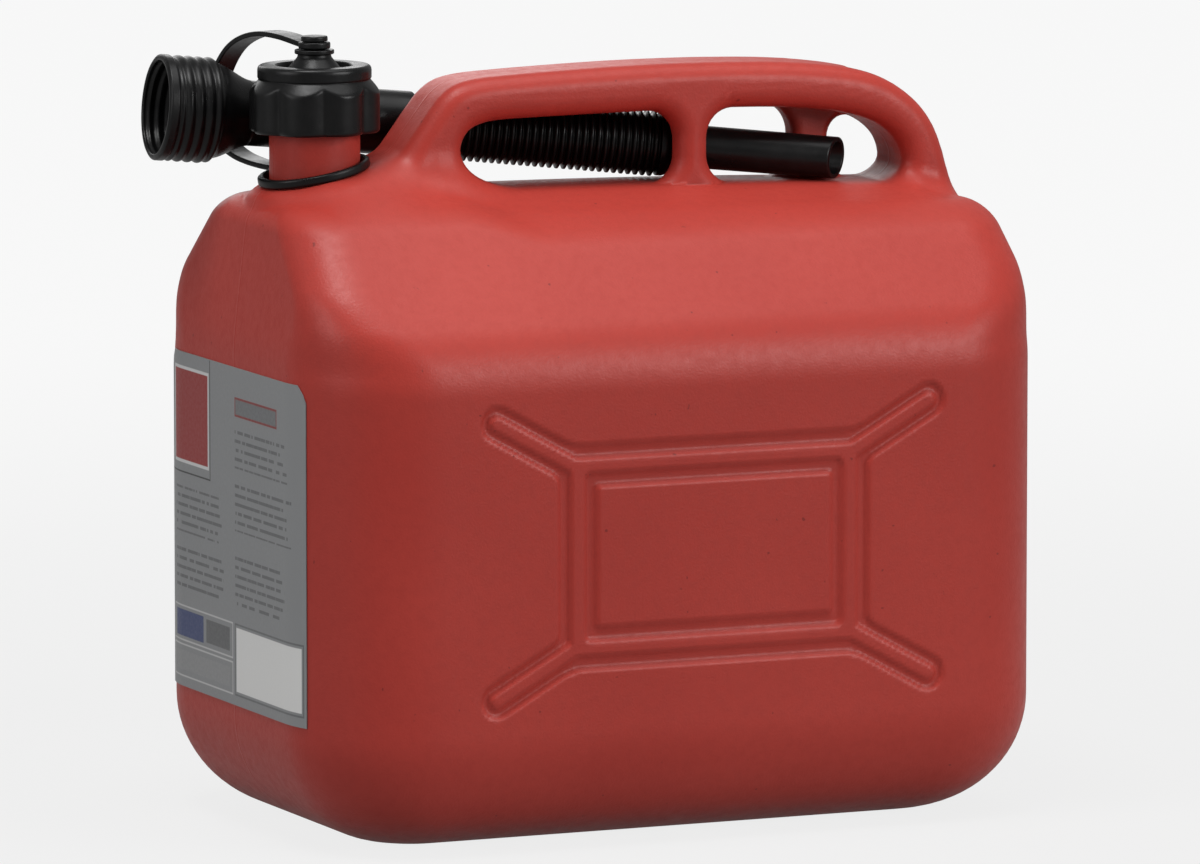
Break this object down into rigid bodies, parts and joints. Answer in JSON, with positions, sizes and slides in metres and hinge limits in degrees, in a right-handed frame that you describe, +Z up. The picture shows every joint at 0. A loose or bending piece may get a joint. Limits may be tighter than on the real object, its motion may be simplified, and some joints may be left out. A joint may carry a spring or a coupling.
{
  "type": "fuel can",
  "caption": "Blow-moulded fuel can with a carrying handle, a tethered lobed screw cap and a ribbed flexible pouring spout stowed through the handle.",
  "frame": {"origin": "centre of the flat base, on the ground", "axes": "+X from the neck end to the rear end along the length, -Y the broad front face that the picture shows, +Z up"},
  "size_m": [0.316, 0.19, 0.2982],
  "materials": {
    "red_hdpe": "satin moulded polyethylene with a fine grain",
    "black_pe": "satin black polyethylene",
    "label_film": "matt printed film",
    "seal_rubber": "matt"
  },
  "bodies": {
    "can": {"can_body": "red_hdpe", "label": "label_film", "neck_ring": "black_pe", "strap": "black_pe"},
    "tether_stud": {"cap_stud": "black_pe", "strap_eyelet": "black_pe"},
    "cap": {"screw_cap": "black_pe", "cap_gasket": "seal_rubber"},
    "spout": {"spout_coupling": "black_pe", "spout_cuff": "black_pe", "spout_gasket": "seal_rubber", "spout_hose": "black_pe", "spout_tip": "black_pe"}
  },
  "joints": [
    {"name": "cap_rise", "type": "slide", "parent": "can", "child": "tether_stud", "axis": [0, 0, 1], "range_m": [0, 0.015], "deforming": ["strap"]},
    {"name": "cap_turn", "type": "hinge", "parent": "tether_stud", "child": "cap", "pos_m": [-0.117, 0, 0.27], "axis": [0, 0, 1], "range_deg": [0, 1080]},
    {"name": "spout_draw", "type": "slide", "parent": "can", "child": "spout", "axis": [-0.9606, 0.261, 0.0958], "range_m": [0, 0.24]}
  ],
  "couplings": [
    {"joint": "cap_turn", "follows": "cap_rise", "rad_per_m": 1256.6}
  ]
}
